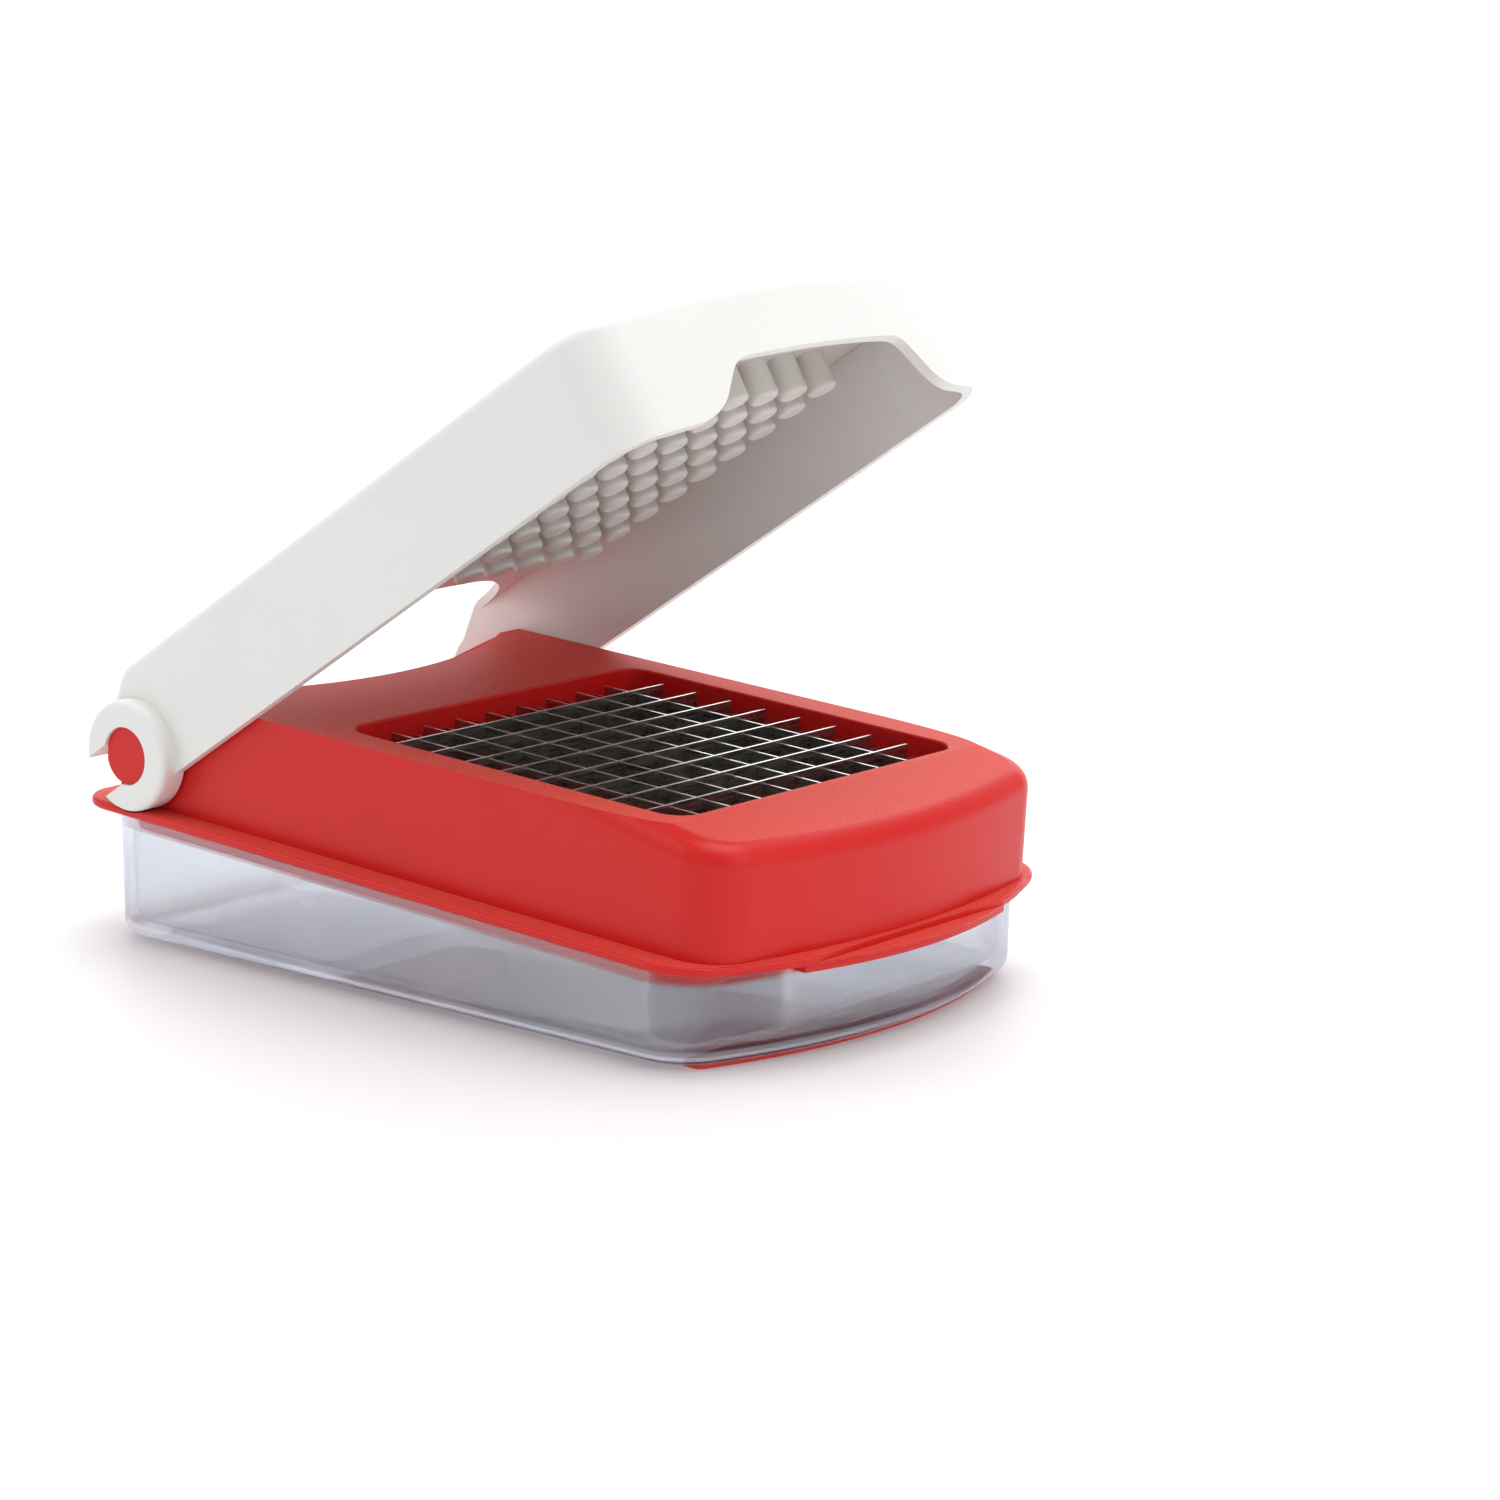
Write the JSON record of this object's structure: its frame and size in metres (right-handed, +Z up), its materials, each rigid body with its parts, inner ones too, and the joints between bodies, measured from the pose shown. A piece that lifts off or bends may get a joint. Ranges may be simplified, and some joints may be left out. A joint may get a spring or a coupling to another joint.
{
  "type": "vegetable dicer",
  "caption": "Hand dicer: hinged pusher lid with pegs presses food through a square blade grid in a frame that sits on a clear catch container.",
  "frame": {"origin": "on the table, under the middle of the product", "axes": "+X to the front where the lid opens, +Y to the left side seen from behind, +Z up"},
  "size_m": [0.1815, 0.1184, 0.1461],
  "materials": {
    "clear_tub": "clear polished",
    "soft_foot": "soft matt",
    "red_frame": "satin moulded",
    "blade_steel": "ground strip",
    "white_lid": "satin moulded",
    "white_pegs": "satin moulded"
  },
  "bodies": {
    "container": {"container": "clear_tub", "front_foot": "soft_foot"},
    "frame": {"base_frame": "red_frame", "cross_blade_1": "blade_steel", "cross_blade_2": "blade_steel", "cross_blade_3": "blade_steel", "cross_blade_4": "blade_steel", "cross_blade_5": "blade_steel", "cross_blade_6": "blade_steel", "cross_blade_7": "blade_steel", "cross_blade_8": "blade_steel", "long_blade_1": "blade_steel", "long_blade_2": "blade_steel", "long_blade_3": "blade_steel", "long_blade_4": "blade_steel", "long_blade_5": "blade_steel", "long_blade_6": "blade_steel", "long_blade_7": "blade_steel", "long_blade_8": "blade_steel"},
    "lid": {"lid_shell": "white_lid", "pusher_plate": "white_pegs"}
  },
  "joints": [
    {"name": "frame_lift", "type": "slide", "parent": "container", "child": "frame", "axis": [0, 0, 1], "range_m": [0, 0.05]},
    {"name": "lid_hinge", "type": "hinge", "parent": "frame", "child": "lid", "pos_m": [-0.0744, 0, 0.04112], "axis": [0, -1, 0], "range_deg": [-36.4, 53]}
  ]
}
